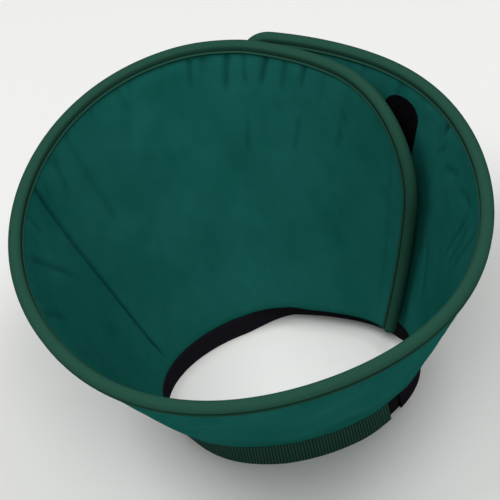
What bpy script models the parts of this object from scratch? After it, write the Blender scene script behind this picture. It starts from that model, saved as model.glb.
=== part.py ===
"""Soft recovery cone: a padded fabric cone, closed by overlapping its two ends and by a neck strap.

The cone stands on its neck ring with the wide mouth up. Lengths are in metres, angles in degrees.
Azimuth 0 is the wearer's left side (+X), 90 is the back of the neck (+Y), where the ends overlap.
"""
import bpy
import numpy as np

for old in list(bpy.data.objects):
    bpy.data.objects.remove(old, do_unlink=True)

# The mouth: the line inside the bound edge that the tape is folded around
MOUTH_RADIUS = 0.1315
WALL_HEIGHT = 0.1454

# Slow swells of the mouth line away from a true circle: waves round the cone, then the shares of
# MOUTH_RADIUS that the cosine and the sine take
MOUTH_SWELLS = (
    (2, -0.0100, -0.0117),
    (3, 0.0101, -0.0079),
    (4, -0.0070, 0.0028),
    (5, -0.0049, 0.0029),
)

# The neck edge of the padded panel: an oval, wider from side to side than from front to back
NECK_HALF_WIDTH = 0.0786
NECK_HALF_DEPTH = 0.0514
NECK_SHIFT_X = 0.0035
NECK_SHIFT_Y = -0.0020

# The padded wall
PANEL_THICKNESS = 0.0054
WALL_BELLY = 0.0016

# How far the slanting wall's lower edge hangs below its middle, as a share of its thickness
EDGE_DROP = 0.25

# Where the two ends of the panel lie: the outer one ends at the back, the inner one runs on under it
OUTER_END = 81.5
OVERLAP = 64.0
OUTER_CORNER = 0.018
INNER_CORNER = 0.064

# How far the layers lie off the mean wall where they overlap, and how far each takes to get there
LAYER_GAP = 0.0042
OUTER_STEP = 0.0054
OUTER_STEP_RUN = 38.0
INNER_STEP_LEAD = 17.5
INNER_STEP_RUN = 30.0

# The inner end's free corner leans in from the outer layer
CORNER_LEAN = 0.014
LEAN_RUN = 60.0

# The fold down the wall on the wearer's right, as azimuths at the neck and mouth
FOLD_AT_NECK = 152.0
FOLD_AT_MOUTH = 155.0
FOLD_DEPTH = 0.0016
FOLD_SPREAD = 4.0
FOLD_FADE = 0.15

# The folded tape round the mouth and down both ends
TAPE_THICKNESS = 0.00085
TAPE_FIT = 0.00038
TAPE_LEG = 0.0028

# How far the padding's square edge reaches past the tape's line, into the round of the tape
EDGE_INTO_ROUND = 0.0006

# The ribbed elastic band at the front of the neck, from the wearer's left to the right
BAND_HEIGHT = 0.0163
BAND_THICKNESS = 0.0020
BAND_START = -48.0
BAND_END = -160.0
SEAM_GAP = 0.0003

# How the band leans outward going down: azimuth, and the lean in degrees
BAND_LEAN = (
    (-160.0, -22.0),
    (-148.0, -20.0),
    (-138.0, -12.0),
    (-130.0, -5.0),
    (-118.0, 3.0),
    (-100.0, 9.0),
    (-62.0, 8.0),
    (-48.0, 2.0),
)

# The black webbing that closes the neck ring: a long strap and the short end it is pressed on to
WEB_THICKNESS = 0.0018
WEB_TUCK = 9.0
SHORT_END = 6.0
LONG_END = -39.5
WEB_RAMP = 12.0
WEB_RAMP_LEAD = 4.2
WEB_SETTLE = 25.0

# How far the webbing takes to stand up from the band's lean at each end
NEAR_LEAN_RUN = 20.0
FAR_LEAN_RUN = 25.0
FAR_LEAN_LEAD = 30.0

# The hook and loop strips between the overlapped ends
STRIP_THICKNESS = 0.0008
STRIP_WIDTH = 0.022
STRIP_FROM_EDGE = 0.009
STRIP_BOTTOM = 0.10
HOOK_TOP = 0.78
LOOP_TOP = 0.88
STRIP_FIT = 0.0004

# How finely each piece is cut up
PANEL_COLUMNS = 92
PANEL_ROWS = 9
CORNER_STEPS = 5
TAPE_END_STEPS = 9
ROUND_STEPS = 6
BAND_STEPS = 26
WEB_STEPS = 52
SHORT_STEPS = 16
STRIP_STEPS = 12

FULL_TURN = 360.0
POCKET = PANEL_THICKNESS / 2 + TAPE_FIT
HALF_TAPE = POCKET + TAPE_THICKNESS
LAYER_STEP = PANEL_THICKNESS + LAYER_GAP
SHEET_TURN = FULL_TURN + OVERLAP
PANEL_BOTTOM = BAND_HEIGHT + SEAM_GAP + PANEL_THICKNESS * EDGE_DROP


def ease(share):
    """Rise smoothly from 0 to 1 while share goes from 0 to 1."""
    share = np.clip(share, 0.0, 1.0)
    return share * share * (3.0 - 2.0 * share)


def neck_line(azimuth):
    """Point of the neck oval at each azimuth, at height 0."""
    a = np.radians(azimuth)
    return np.stack([NECK_SHIFT_X + NECK_HALF_WIDTH * np.cos(a),
                     NECK_SHIFT_Y + NECK_HALF_DEPTH * np.sin(a), 0 * a], axis=-1)


def neck_outward(azimuth):
    """Level unit vector square to the neck oval, pointing away from the neck."""
    a = np.radians(azimuth)
    out = np.stack([np.cos(a) / NECK_HALF_WIDTH, np.sin(a) / NECK_HALF_DEPTH, 0 * a], axis=-1)
    return out / np.linalg.norm(out, axis=-1, keepdims=True)


def mouth_line(azimuth):
    """Point of the mouth line at each azimuth: a circle with the slow swells on it."""
    a = np.radians(azimuth)
    radius = MOUTH_RADIUS * (1.0 + sum(c * np.cos(k * a) + s * np.sin(k * a)
                                       for k, c, s in MOUTH_SWELLS))
    return np.stack([radius * np.cos(a), radius * np.sin(a), 0 * a + WALL_HEIGHT], axis=-1)


def outer_offset(travel):
    """Distance that the outer layer lies outside the mean wall, from its end onwards."""
    return OUTER_STEP * np.clip(1.0 - travel / OUTER_STEP_RUN, 0.0, 1.0) ** 2


def layer_offset(travel):
    """Distance of the sheet outside the mean wall; the inner layer clears the outer one over it."""
    inner = LAYER_STEP - outer_offset(travel - FULL_TURN)
    return outer_offset(travel) - inner * ease((travel - FULL_TURN + INNER_STEP_LEAD) / INNER_STEP_RUN)


def wall_point(travel, rise):
    """Middle of the padded wall, from how far it has wound and its share of the way to the mouth."""
    azimuth = OUTER_END - travel
    neck = neck_line(azimuth)
    mouth = mouth_line(azimuth)
    a = np.radians(azimuth)
    out = np.stack([np.cos(a), np.sin(a), 0 * a], axis=-1)
    belly = WALL_BELLY * 4.0 * rise * (1.0 - rise)
    lean = CORNER_LEAN * ease((travel - (SHEET_TURN - LEAN_RUN)) / LEAN_RUN) * np.clip(rise, 0, 1) ** 2
    fold_line = FOLD_AT_NECK + (FOLD_AT_MOUTH - FOLD_AT_NECK) * rise
    off_line = (azimuth - fold_line + FULL_TURN / 2) % FULL_TURN - FULL_TURN / 2
    fold = FOLD_DEPTH * np.exp(-(off_line / FOLD_SPREAD) ** 2) * ease(rise / FOLD_FADE) * ease((1 - rise) / FOLD_FADE)
    shift = belly + layer_offset(travel) - lean + fold
    point = neck * (1.0 - rise)[..., None] + mouth * rise[..., None] + out * shift[..., None]
    point[..., 2] += PANEL_BOTTOM
    return point


def wall_frame(travel, rise):
    """Directions on the wall: along the winding, up towards the mouth, and square out of it."""
    step_t, step_r = 0.2, 0.004
    along = wall_point(travel + step_t, rise) - wall_point(travel - step_t, rise)
    up = wall_point(travel, rise + step_r) - wall_point(travel, rise - step_r)
    along /= np.linalg.norm(along, axis=-1, keepdims=True)
    up /= np.linalg.norm(up, axis=-1, keepdims=True)
    out = np.cross(up, along)
    out /= np.linalg.norm(out, axis=-1, keepdims=True)
    return along, up, out


def wall_length(travel):
    """Length of the wall from the neck edge to the mouth line."""
    azimuth = OUTER_END - travel
    return np.linalg.norm(mouth_line(azimuth) - neck_line(azimuth), axis=-1)


def metres_per_degree(travel, rise):
    """Distance along the winding that one degree of travel covers."""
    return np.linalg.norm(wall_point(travel + 0.5, rise) - wall_point(travel - 0.5, rise), axis=-1)


def end_outline(corner, beyond, steps):
    """Corner of one end, as distances from the end line and below the mouth line.

    beyond is how far the outline lies outside the tape's line.
    """
    turn = np.linspace(0.0, np.pi / 2, steps + 1)
    from_end = corner - (corner + beyond) * np.cos(turn)
    below = corner - (corner + beyond) * np.sin(turn)
    return from_end, below


def material(name, colour, roughness):
    """Plain material of one colour."""
    made = bpy.data.materials.new(name)
    made.use_nodes = True
    shader = made.node_tree.nodes["Principled BSDF"]
    shader.inputs["Base Color"].default_value = (*colour, 1.0)
    shader.inputs["Roughness"].default_value = roughness
    return made


def add_mesh(name, points, faces, colour, roughness, collection):
    """Object from its corner points and faces, smooth shaded."""
    mesh = bpy.data.meshes.new(name)
    mesh.from_pydata([tuple(p) for p in points], [], faces)
    mesh.update()
    mesh.polygons.foreach_set("use_smooth", [True] * len(mesh.polygons))
    mesh.materials.append(material(name, colour, roughness))
    made = bpy.data.objects.new(name, mesh)
    collection.objects.link(made)
    return made


def grid_faces(columns, rows):
    """Quads of an open grid whose points run row by row inside each column."""
    return [(c * rows + r, (c + 1) * rows + r, (c + 1) * rows + r + 1, c * rows + r + 1)
            for c in range(columns - 1) for r in range(rows - 1)]


def tube(name, rings, colour, roughness, collection):
    """Closed solid from a run of outlines, each with the same number of points, capped at both ends."""
    count = rings.shape[1]
    faces = [(i * count + j, i * count + (j + 1) % count, (i + 1) * count + (j + 1) % count,
              (i + 1) * count + j) for i in range(len(rings) - 1) for j in range(count)]
    last = (len(rings) - 1) * count
    faces.append(tuple(range(count))[::-1])
    faces.append(tuple(last + j for j in range(count)))
    return add_mesh(name, rings.reshape(-1, 3), faces, colour, roughness, collection)


def make_panel(collection):
    """The padded fan: one sheet wound round once and a bit, thickened evenly on both sides."""
    outer_from, outer_below = end_outline(OUTER_CORNER, EDGE_INTO_ROUND, CORNER_STEPS)
    inner_from, inner_below = end_outline(INNER_CORNER, EDGE_INTO_ROUND, CORNER_STEPS)
    per_degree = metres_per_degree(np.array([0.0, SHEET_TURN]), np.array([1.0, 1.0]))
    first = outer_from / per_degree[0]
    last = SHEET_TURN - inner_from[::-1] / per_degree[1]
    middle = np.linspace(first[-1], last[0], PANEL_COLUMNS)[1:-1]
    travel_top = np.concatenate([first, middle, last])
    below = np.concatenate([outer_below, np.full(len(middle), -EDGE_INTO_ROUND), inner_below[::-1]])
    rise_top = 1.0 - below / wall_length(travel_top)

    share = np.linspace(0.0, 1.0, PANEL_ROWS)
    rise = rise_top[:, None] * share[None, :]
    travel = np.repeat(travel_top[:, None], PANEL_ROWS, axis=1)
    # near each end the columns keep an even distance from the end line, which closes in at the neck
    for end, side, columns in ((0.0, -1.0, range(len(first))),
                               (SHEET_TURN, 1.0, range(len(travel_top) - len(last), len(travel_top)))):
        for c in columns:
            margin = side * EDGE_INTO_ROUND / metres_per_degree(np.full(PANEL_ROWS, end), rise[c])
            travel[c] += margin - margin[-1]
    points = wall_point(travel, rise)
    panel = add_mesh("cone_panel", points.reshape(-1, 3),
                     grid_faces(len(travel_top), PANEL_ROWS), (0.010, 0.075, 0.060), 0.75, collection)
    thicken = panel.modifiers.new("padding", "SOLIDIFY")
    thicken.thickness = PANEL_THICKNESS
    thicken.offset = 0.0
    thicken.use_even_offset = True
    return panel


def make_binding(collection):
    """The folded tape: a U section carried up one end, round the mouth and down the other end."""
    per_degree = metres_per_degree(np.array([0.0, SHEET_TURN]), np.array([1.0, 1.0]))
    outer_from, outer_below = end_outline(OUTER_CORNER, 0.0, CORNER_STEPS)
    inner_from, inner_below = end_outline(INNER_CORNER, 0.0, CORNER_STEPS)
    lengths = wall_length(np.array([0.0, SHEET_TURN]))
    up = np.linspace(0.0, 1.0 - OUTER_CORNER / lengths[0], TAPE_END_STEPS)[:-1]
    down = np.linspace(1.0 - INNER_CORNER / lengths[1], 0.0, TAPE_END_STEPS)[1:]
    first = outer_from / per_degree[0]
    last = SHEET_TURN - inner_from[::-1] / per_degree[1]
    middle = np.linspace(first[-1], last[0], PANEL_COLUMNS)[1:-1]
    travel = np.concatenate([0 * up, first, middle, last, 0 * down + SHEET_TURN])
    rise = np.concatenate([up, 1 - outer_below / wall_length(first), 1 + 0 * middle,
                           1 - inner_below[::-1] / wall_length(last), down])

    line = wall_point(travel, rise)
    run = np.gradient(line, axis=0)
    run /= np.linalg.norm(run, axis=1, keepdims=True)
    out = wall_frame(travel, rise)[2]
    out -= (out * run).sum(1, keepdims=True) * run
    out /= np.linalg.norm(out, axis=1, keepdims=True)
    beyond = np.cross(run, out)

    # the section: two flat legs joined by a half round, of even thickness
    turn = np.linspace(-np.pi / 2, np.pi / 2, ROUND_STEPS + 1)
    half_round = np.stack([np.cos(turn), np.sin(turn)], axis=1)
    section = [(-TAPE_LEG, -POCKET), *(half_round * POCKET), (-TAPE_LEG, POCKET),
               (-TAPE_LEG, HALF_TAPE), *(half_round[::-1] * HALF_TAPE), (-TAPE_LEG, -HALF_TAPE)]
    rings = np.stack([line + x * beyond + y * out for x, y in section], axis=1)
    return tube("rim_binding", rings, (0.030, 0.085, 0.065), 0.85, collection)


def upright_strip(name, azimuth, inset, lean, thickness, top, colour, roughness, collection):
    """Band of even height standing on the neck ring, its lower edge moved out by the lean."""
    a = np.asarray(azimuth)
    base = neck_line(a)
    out = neck_outward(a)
    shift = np.asarray(inset) * np.ones_like(a)
    foot = np.tan(np.radians(lean)) * top * np.ones_like(a)
    corners = []
    for height, side in ((0.0, -0.5), (0.0, 0.5), (top, 0.5), (top, -0.5)):
        moved = shift + side * thickness + foot * (1.0 - height / top)
        point = base + out * moved[:, None]
        point[:, 2] = height
        corners.append(point)
    return tube(name, np.stack(corners, axis=1), colour, roughness, collection)


def ring_offset(azimuth):
    """Distance outside the neck oval that the panel's outer layer keeps at each azimuth."""
    return outer_offset(OUTER_END - azimuth) * ease(1.0 - (azimuth - OUTER_END) / WEB_SETTLE)


def make_neck_ring(collection):
    """Elastic band, short strap end and long strap, which together close the ring."""
    leans = sorted(BAND_LEAN)
    azimuth = np.linspace(BAND_START, BAND_END, BAND_STEPS)
    lean = np.interp(azimuth, [row[0] for row in leans], [row[1] for row in leans])
    band_line = PANEL_THICKNESS / 2 - BAND_THICKNESS
    upright_strip("neck_band", azimuth, band_line, lean, BAND_THICKNESS, BAND_HEIGHT,
                  (0.020, 0.055, 0.042), 0.9, collection)

    # the webbing tucks in behind both ends of the band
    behind = band_line - BAND_THICKNESS / 2 - SEAM_GAP - WEB_THICKNESS / 2
    tuck_lean = np.interp(azimuth[0], [row[0] for row in leans], [row[1] for row in leans])
    short = np.linspace(SHORT_END, BAND_START - WEB_TUCK, SHORT_STEPS)
    short_lean = tuck_lean * ease((BAND_START - short) / NEAR_LEAN_RUN + 1)
    upright_strip("strap_short_end", short, behind, short_lean, WEB_THICKNESS, BAND_HEIGHT,
                  (0.008, 0.007, 0.009), 0.8, collection)

    long_run = np.linspace(FULL_TURN + BAND_END + WEB_TUCK, LONG_END, WEB_STEPS)
    over_short = WEB_THICKNESS + SEAM_GAP
    inset = behind + over_short * ease((SHORT_END + WEB_RAMP + WEB_RAMP_LEAD - long_run) / WEB_RAMP)
    far_lean = leans[0][1] * ease((long_run - (FULL_TURN + BAND_END - FAR_LEAN_LEAD)) / FAR_LEAN_RUN)
    upright_strip("neck_strap", long_run, inset + ring_offset(long_run), far_lean,
                  WEB_THICKNESS, BAND_HEIGHT, (0.008, 0.007, 0.009), 0.8, collection)


def make_strip(name, travel_at, top, side, collection):
    """Closure strip lying on one face of the wall, up along the inner end.

    travel_at gives the winding across the strip, top how far up the wall it reaches, and side is 1
    outside the wall and -1 inside.
    """
    rise = np.linspace(STRIP_BOTTOM, top, STRIP_STEPS)
    near = side * (PANEL_THICKNESS / 2 + STRIP_FIT)
    far = near + side * STRIP_THICKNESS
    corners = []
    for share, height in ((0.0, near), (0.5, near), (1.0, near), (1.0, far), (0.5, far), (0.0, far)):
        travel = travel_at(share, rise)
        out = wall_frame(travel, rise)[2]
        corners.append(wall_point(travel, rise) + out * height)
    rings = np.stack(corners, axis=1)
    if side > 0:
        rings = rings[:, ::-1]
    return tube(name, rings, (0.006, 0.006, 0.007), 0.95, collection)


def make_closure(collection):
    """Hook strip on the inner end's outer face and loop strip facing it inside the outer end."""
    def along_inner_end(share, rise):
        distance = TAPE_LEG + STRIP_FROM_EDGE + STRIP_WIDTH * share
        end = np.full_like(rise, SHEET_TURN)
        return SHEET_TURN - distance / metres_per_degree(end, rise)

    def facing(share, rise):
        return along_inner_end(share, rise) - FULL_TURN

    make_strip("closure_hook_strip", along_inner_end, HOOK_TOP, 1.0, collection)
    make_strip("closure_loop_strip", facing, LOOP_TOP, -1.0, collection)


def centre_over_origin(collection):
    """Move the finished pieces so that their common box stands centred on the origin."""
    bpy.context.view_layer.update()
    graph = bpy.context.evaluated_depsgraph_get()
    corners = []
    for piece in collection.objects:
        shape = piece.evaluated_get(graph)
        corners += [shape.matrix_world @ v.co for v in shape.to_mesh().vertices]
        shape.to_mesh_clear()
    corners = np.array([tuple(c) for c in corners])
    low, high = corners.min(axis=0), corners.max(axis=0)
    for piece in collection.objects:
        for vertex in piece.data.vertices:
            vertex.co.x -= (low[0] + high[0]) / 2
            vertex.co.y -= (low[1] + high[1]) / 2
            vertex.co.z -= low[2]


cone = bpy.data.collections.new("soft_recovery_cone")
bpy.context.scene.collection.children.link(cone)
make_panel(cone)
make_binding(cone)
make_neck_ring(cone)
make_closure(cone)
centre_over_origin(cone)
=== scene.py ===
"""Soft recovery cone, dressed: padded fabric panel, bound edge, elastic neck band and webbing strap.

The cone stands on its neck ring with the mouth up. Lengths are in metres, angles in degrees.
Azimuth 0 is the left side as worn (+X), 90 is the back of the neck (+Y), where the ends overlap.
"""
import bpy
import numpy as np
from mathutils import Matrix, Vector


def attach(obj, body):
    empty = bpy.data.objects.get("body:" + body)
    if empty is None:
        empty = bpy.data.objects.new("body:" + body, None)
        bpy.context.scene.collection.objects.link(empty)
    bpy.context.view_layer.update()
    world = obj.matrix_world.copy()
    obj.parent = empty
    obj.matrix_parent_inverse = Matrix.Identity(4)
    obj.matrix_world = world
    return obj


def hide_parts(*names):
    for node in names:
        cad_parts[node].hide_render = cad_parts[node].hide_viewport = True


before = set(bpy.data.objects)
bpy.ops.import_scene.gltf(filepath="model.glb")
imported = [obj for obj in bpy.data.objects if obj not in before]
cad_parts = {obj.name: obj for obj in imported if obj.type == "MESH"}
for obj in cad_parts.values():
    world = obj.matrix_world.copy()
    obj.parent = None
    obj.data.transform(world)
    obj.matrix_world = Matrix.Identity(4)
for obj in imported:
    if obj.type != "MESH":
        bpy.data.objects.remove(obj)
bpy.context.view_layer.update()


# The padded panel: one fan of smooth woven polyester on both faces of thin foam, cut flat and wound
# round once and a bit more. It is stitched only at its edges, so the faces swell a little between
# the seams, and the cloth puckers where the tape gathers it.
MOUTH_RADIUS = 0.1315
WALL_HEIGHT = 0.1454
MOUTH_SWELLS = ((2, -0.01, -0.0117), (3, 0.0101, -0.0079),
                (4, -0.007, 0.0028), (5, -0.0049, 0.0029))
NECK_HALF_WIDTH = 0.0786
NECK_HALF_DEPTH = 0.0514
NECK_SHIFT_X = 0.0035
NECK_SHIFT_Y = -0.002
PANEL_THICKNESS = 0.0054
PANEL_BOTTOM = 0.01795
WALL_BELLY = 0.0016
OUTER_END = 81.5
SHEET_TURN = 424.0
OUTER_CORNER = 0.018
INNER_CORNER = 0.064
LAYER_STEP = 0.0096
OUTER_STEP = 0.0054
OUTER_STEP_RUN = 38.0
INNER_STEP_LEAD = 17.5
INNER_STEP_RUN = 30.0
CORNER_LEAN = 0.014
LEAN_RUN = 60.0
FOLD_AT_NECK = 153.0
FOLD_AT_MOUTH = 153.8
FOLD_DEPTH = 0.0016
FOLD_SPREAD = 4.0
FOLD_FADE = 0.15
CENTRE_X = 0.00071684
CENTRE_Y = 0.0015036
FULL_TURN = 360.0

# the faces: half the thickness where the tape presses them, and in the open between the seams
PRESSED_HALF = 0.00225
OPEN_HALF = 0.00292
PRESSED_RUN = 0.0024
NECK_PRESSED_RUN = 0.001
SWELL_RUN = 0.008
EDGE_INTO_ROUND = 0.0006

# one degree of winding and the whole slant, in metres, as waves and furrows are measured
DEGREE_LENGTH = 0.0021
SLANT_LENGTH = 0.15


def ease(share):
    """Rise smoothly from 0 to 1 while share goes from 0 to 1: the square of it times 3 less twice it."""
    share = np.clip(share, 0.0, 1.0)
    return share * share * (3.0 - 2.0 * share)


def neck_line(azimuth):
    """Point of the neck oval: half width times the cosine, half depth times the sine, at height 0."""
    a = np.radians(azimuth)
    return np.stack([NECK_SHIFT_X - CENTRE_X + NECK_HALF_WIDTH * np.cos(a),
                     NECK_SHIFT_Y - CENTRE_Y + NECK_HALF_DEPTH * np.sin(a), 0 * a], axis=-1)


def mouth_line(azimuth):
    """Point of the mouth line: a circle whose radius takes a few slow waves of its azimuth."""
    a = np.radians(azimuth)
    radius = MOUTH_RADIUS * (1.0 + sum(c * np.cos(k * a) + s * np.sin(k * a) for k, c, s in MOUTH_SWELLS))
    return np.stack([radius * np.cos(a) - CENTRE_X, radius * np.sin(a) - CENTRE_Y,
                     0 * a + WALL_HEIGHT], axis=-1)


def outer_offset(travel):
    """How far the outer layer lies off the mean wall: the full step at its end, dying out as a square."""
    return OUTER_STEP * np.clip(1.0 - travel / OUTER_STEP_RUN, 0.0, 1.0) ** 2


def layer_offset(travel):
    """How far the sheet lies off the mean wall: the outer step, less the inner layer's eased step in."""
    inner = LAYER_STEP - outer_offset(travel - FULL_TURN)
    return outer_offset(travel) - inner * ease((travel - FULL_TURN + INNER_STEP_LEAD) / INNER_STEP_RUN)


def off_fold(travel, rise):
    """Degrees that a point lies past the fold line, which runs straight from the neck to the mouth."""
    fold_line = FOLD_AT_NECK + (FOLD_AT_MOUTH - FOLD_AT_NECK) * rise
    return (OUTER_END - travel - fold_line + FULL_TURN / 2) % FULL_TURN - FULL_TURN / 2


def wall_point(travel, rise):
    """Middle of the wall: a straight mix of neck and mouth, moved out by belly, layer, lean and fold."""
    azimuth = OUTER_END - travel
    a = np.radians(azimuth)
    out = np.stack([np.cos(a), np.sin(a), 0 * a], axis=-1)
    belly = WALL_BELLY * 4.0 * rise * (1.0 - rise)
    lean = CORNER_LEAN * ease((travel - (SHEET_TURN - LEAN_RUN)) / LEAN_RUN) * np.clip(rise, 0, 1) ** 2
    fold = (FOLD_DEPTH * np.exp(-(off_fold(travel, rise) / FOLD_SPREAD) ** 2)
            * ease(rise / FOLD_FADE) * ease((1 - rise) / FOLD_FADE))
    shift = belly + layer_offset(travel) - lean + fold
    point = (neck_line(azimuth) * (1.0 - rise)[..., None] + mouth_line(azimuth) * rise[..., None]
             + out * shift[..., None])
    point[..., 2] += PANEL_BOTTOM
    return point


def unit(vectors):
    """The same directions at length 1."""
    return vectors / np.linalg.norm(vectors, axis=-1, keepdims=True)


def run_along(points):
    """Length along a path of points, from its first point to each."""
    return np.concatenate([[0.0], np.cumsum(np.linalg.norm(np.diff(points, axis=0), axis=1))])


def wall_frame(travel, rise):
    """Unit vectors at a point of the wall, by differences: up to the mouth, and square out of it."""
    along = unit(wall_point(travel + 0.2, rise) - wall_point(travel - 0.2, rise))
    up = unit(wall_point(travel, rise + 0.004) - wall_point(travel, rise - 0.004))
    return up, unit(np.cross(up, along))


def wall_length(travel):
    """Length of the wall's slant from the neck edge to the mouth line."""
    azimuth = OUTER_END - travel
    return np.linalg.norm(mouth_line(azimuth) - neck_line(azimuth), axis=-1)


def metres_per_degree(travel, rise):
    """Distance that one degree of winding covers at that height."""
    return np.linalg.norm(wall_point(travel + 0.5, rise) - wall_point(travel - 0.5, rise), axis=-1)


def end_outline(corner, beyond, steps):
    """Quarter round of one free corner, as distances from the end line and below the mouth line."""
    turn = np.linspace(0.0, np.pi / 2, steps + 1)
    return corner - (corner + beyond) * np.cos(turn), corner - (corner + beyond) * np.sin(turn)


def edge_distance(travel, rise):
    """Distance from the bound edge: the lesser of those to the end and to the mouth line, and at a
    corner the corner's radius less the distance from its centre."""
    below = (1.0 - rise) * wall_length(travel)
    nearest = np.full(np.broadcast(travel, rise).shape, 1.0)
    for end, side, corner in ((0.0, 1.0, OUTER_CORNER), (SHEET_TURN, -1.0, INNER_CORNER)):
        from_end = side * (travel - end) * metres_per_degree(np.full_like(rise, end), rise)
        round_in = corner - np.hypot(corner - from_end, corner - below)
        inside = (from_end < corner) & (below < corner)
        nearest = np.minimum(nearest, np.where(inside, round_in, np.minimum(from_end, below)))
    return nearest


WAVE_SEED = 5
WAVE_COUNT = 7
WAVE_HEIGHT = 0.00042
WAVE_LENGTHS = (0.03, 0.075)
WAVE_TURN = 0.35


def waves(travel, rise):
    """Slow seeded undulation in metres: a sum of sine waves over the sheet, mostly across the winding."""
    rng = np.random.default_rng(WAVE_SEED)
    x = travel * DEGREE_LENGTH
    y = rise * SLANT_LENGTH
    total = 0.0
    for _ in range(WAVE_COUNT):
        length = rng.uniform(*WAVE_LENGTHS)
        heading = rng.normal(0.0, WAVE_TURN)
        total = total + np.sin((x * np.cos(heading) + y * np.sin(heading)) * 2 * np.pi / length
                               + rng.uniform(0, 2 * np.pi)) * rng.uniform(0.5, 1.0)
    return WAVE_HEIGHT * total / np.sqrt(WAVE_COUNT)


# gathers at the tape: seed, first and last winding, spacing, and slant in degrees for each 0.1 m
OUTER_GATHERS = ((21, 4.0, 421.0, 7.5, 0.0),)
INNER_GATHERS = ((22, 4.0, 334.0, 8.0, 0.0), (23, 338.0, 421.0, 7.0, -14.0))
GATHER_START = 0.004
GATHER_SLANT_RUN = 0.1


def puckers(travel, below, table):
    """Narrow furrows that start at the tape: each is a bell across its line, fading down its length.
    A row of the table is the winding, slant, length, width and depth."""
    total = np.zeros(np.broadcast(travel, below).shape)
    for at, slant, length, width, depth in table:
        across = (travel - at - slant * below / GATHER_SLANT_RUN) * DEGREE_LENGTH
        total += (depth * np.exp(-(across / width) ** 2) * ease(below / GATHER_START)
                  * ease(1.0 - below / length))
    return total


def random_puckers(seed, start, end, spacing, slant):
    """Table of furrows about spacing degrees apart, with seeded slants, lengths, widths and depths."""
    rng = np.random.default_rng(seed)
    at = np.arange(start, end, spacing)
    at = at + rng.uniform(-0.4, 0.4, len(at)) * spacing
    rows = [at, rng.normal(slant, 4.0, len(at))]
    for low, high in ((0.014, 0.05), (0.0016, 0.0028), (0.0002, 0.0006)):
        rows.append(rng.uniform(low, high, len(at)))
    return np.stack(rows, axis=1)


CREASE_PAST = 0.2
CREASE_FADE = 0.4


def creases(travel, rise, table):
    """Dents along short straight lines: each is a bell of the distance across its line, eased at its
    ends. A row is winding and rise where it starts and where it ends, width and depth."""
    x, y = travel * DEGREE_LENGTH, rise * SLANT_LENGTH
    total = np.zeros(np.broadcast(travel, rise).shape)
    for start, low, end, high, width, depth in table:
        dx, dy = (end - start) * DEGREE_LENGTH, (high - low) * SLANT_LENGTH
        length = np.hypot(dx, dy)
        from_x, from_y = x - start * DEGREE_LENGTH, y - low * SLANT_LENGTH
        share = (from_x * dx + from_y * dy) / length ** 2
        across = (from_x * dy - from_y * dx) / length
        total += (depth * np.exp(-(across / width) ** 2) * ease((share + CREASE_PAST) / CREASE_FADE)
                  * ease((1.0 + CREASE_PAST - share) / CREASE_FADE))
    return total


# the furrows and dents that show on the inner face: those that start at the tape at the back, three
# deeper down, short dents and long slack folds on the left as worn, and faint ones on the right
SEEN_CREASES = (
    (326.1, 0.985, 325.9, 0.88, 0.0018, 0.00045),
    (346.4, 0.985, 344.2, 0.86, 0.0017, 0.0007),
    (356.0, 0.99, 353.6, 0.84, 0.0018, 0.00085),
    (360.6, 0.99, 359.3, 0.86, 0.0016, 0.0007),
    (367.4, 0.99, 364.0, 0.87, 0.0017, 0.00095),
    (372.8, 0.99, 369.8, 0.85, 0.0017, 0.0008),
    (378.9, 0.99, 376.5, 0.88, 0.0016, 0.0007),
    (391.8, 0.84, 388.0, 0.68, 0.0018, 0.0007),
    (358.2, 0.73, 356.0, 0.61, 0.0018, 0.00052),
    (374.8, 0.76, 371.5, 0.62, 0.0019, 0.00048),
    (46.1, 0.98, 44.6, 0.88, 0.0017, 0.0007),
    (34.8, 0.99, 33.4, 0.93, 0.0016, 0.0006),
    (62.8, 0.85, 66.2, 0.955, 0.0018, 0.0008),
    (64.6, 0.925, 67.8, 0.99, 0.0016, 0.0007),
    (61.0, 0.86, 64.2, 0.945, 0.0015, 0.00055),
    (63.2, 0.805, 67.0, 0.88, 0.0017, 0.0006),
    (69.0, 0.8, 76.5, 0.85, 0.0022, 0.00095),
    (79.0, 0.81, 89.5, 0.868, 0.0024, 0.00075),
    (83.0, 0.5, 89.5, 0.8, 0.0022, 0.00085),
    (88.5, 0.52, 94.5, 0.82, 0.002, 0.0006),
    (95.5, 0.6, 100.5, 0.89, 0.0022, 0.00085),
    (109.8, 0.78, 110.8, 0.965, 0.002, 0.0007),
    (68.8, 0.45, 77.0, 0.2, 0.0024, 0.0008),
    (266.0, 0.92, 277.0, 0.64, 0.0026, 0.0008),
    (247.0, 0.91, 256.0, 0.69, 0.0024, 0.0006),
    (299.8, 0.96, 297.0, 0.82, 0.0024, 0.0006),
    (306.0, 0.84, 307.2, 0.58, 0.004, 0.0006),
)


def linear(hex_colour):
    """Linear RGBA of an sRGB hex colour."""
    value = np.array([int(hex_colour[i:i + 2], 16) for i in (1, 3, 5)]) / 255.0
    value = np.where(value <= 0.04045, value / 12.92, ((value + 0.055) / 1.055) ** 2.4)
    return (*map(float, value), 1.0)


def add_node(tree, kind, links=(), ramp=(), **settings):
    """Add a node: settings go to its properties, or to its inputs by name with _ for a space, each
    link is (input name or number, socket that feeds it), and ramp is a place and colour for each
    end of a colour ramp."""
    node = tree.nodes.new(kind)
    for stop, (place, colour) in zip(node.color_ramp.elements if ramp else (), ramp):
        stop.position, stop.color = place, linear(colour)
    for key, value in settings.items():
        if hasattr(node, key):
            setattr(node, key, value)
        else:
            node.inputs[key.replace("_", " ")].default_value = value
    for socket, source in links:
        tree.links.new(node.inputs[socket], source)
    return node


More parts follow.
